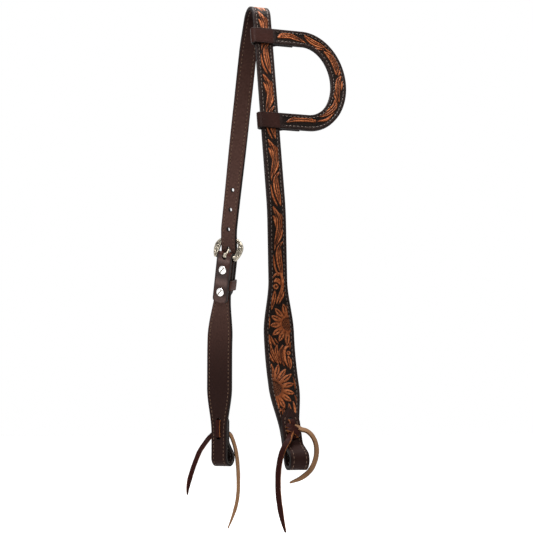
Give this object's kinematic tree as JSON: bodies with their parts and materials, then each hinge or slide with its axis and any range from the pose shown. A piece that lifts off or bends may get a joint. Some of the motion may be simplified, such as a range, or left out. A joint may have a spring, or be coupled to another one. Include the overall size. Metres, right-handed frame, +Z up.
{
  "type": "western headstall",
  "caption": "Hanging slip-ear bridle headstall: tooled, lined leather crown and flared cheeks, a sliding ear strap, one buckle with keeper and turnback screws, and lace-tied folded bit ends.",
  "frame": {"origin": "under the middle of the crown's bend, where a peg or a horse's poll carries it", "axes": "+Z up; the strap's middle line lies in the plane X = 0, the right leg towards -Y with its tooled face to -Y, the buckled left leg towards +Y; +X is the side the ear loop stands out to"},
  "size_m": [0.121, 0.2703, 0.5536],
  "materials": {
    "tooled_leather": "tooled tan leaves on a dark ground, oiled",
    "lining_leather": "plain dark brown, matt",
    "keeper_leather": "plain red brown, satin",
    "dark_lace": "oxblood latigo, satin",
    "tan_lace": "tan flesh side, matt",
    "buckle_silver": "antiqued engraved silver",
    "screw_nickel": "polished nickel"
  },
  "bodies": {
    "strap": {"crown_strap": "tooled_leather", "crown_lining": "lining_leather", "left_cheek_strap": "tooled_leather", "left_cheek_lining": "lining_leather", "upper_screw": "screw_nickel", "upper_screw_post": "screw_nickel", "lower_screw": "screw_nickel", "lower_screw_post": "screw_nickel", "right_lace_knot": "dark_lace", "right_lace_tail_dark": "dark_lace", "right_lace_tail_tan": "tan_lace", "left_lace_knot": "dark_lace", "left_lace_tail_dark": "dark_lace", "left_lace_tail_tan": "tan_lace"},
    "ear": {"ear_strap": "tooled_leather", "ear_lining": "lining_leather"},
    "buckle": {"buckle_frame": "buckle_silver"},
    "tongue": {"buckle_tongue": "buckle_silver"},
    "keeper": {"keeper": "keeper_leather"}
  },
  "joints": [
    {"name": "ear_slide", "type": "slide", "parent": "strap", "child": "ear", "axis": [0, -0.2045, -0.9789], "range_m": [-0.012, 0.07]},
    {"name": "buckle_hinge", "type": "hinge", "parent": "strap", "child": "buckle", "pos_m": [0, 0.10099, -0.24917], "axis": [-0.6428, 0.7252, 0.2469], "range_deg": [0, 10]},
    {"name": "tongue_hinge", "type": "hinge", "parent": "buckle", "child": "tongue", "pos_m": [0, 0.10099, -0.24917], "axis": [-0.6428, 0.7252, 0.2469], "range_deg": [0, 6]},
    {"name": "keeper_slide", "type": "slide", "parent": "strap", "child": "keeper", "axis": [0, -0.3223, 0.9466], "range_m": [0, 0.0075]}
  ]
}
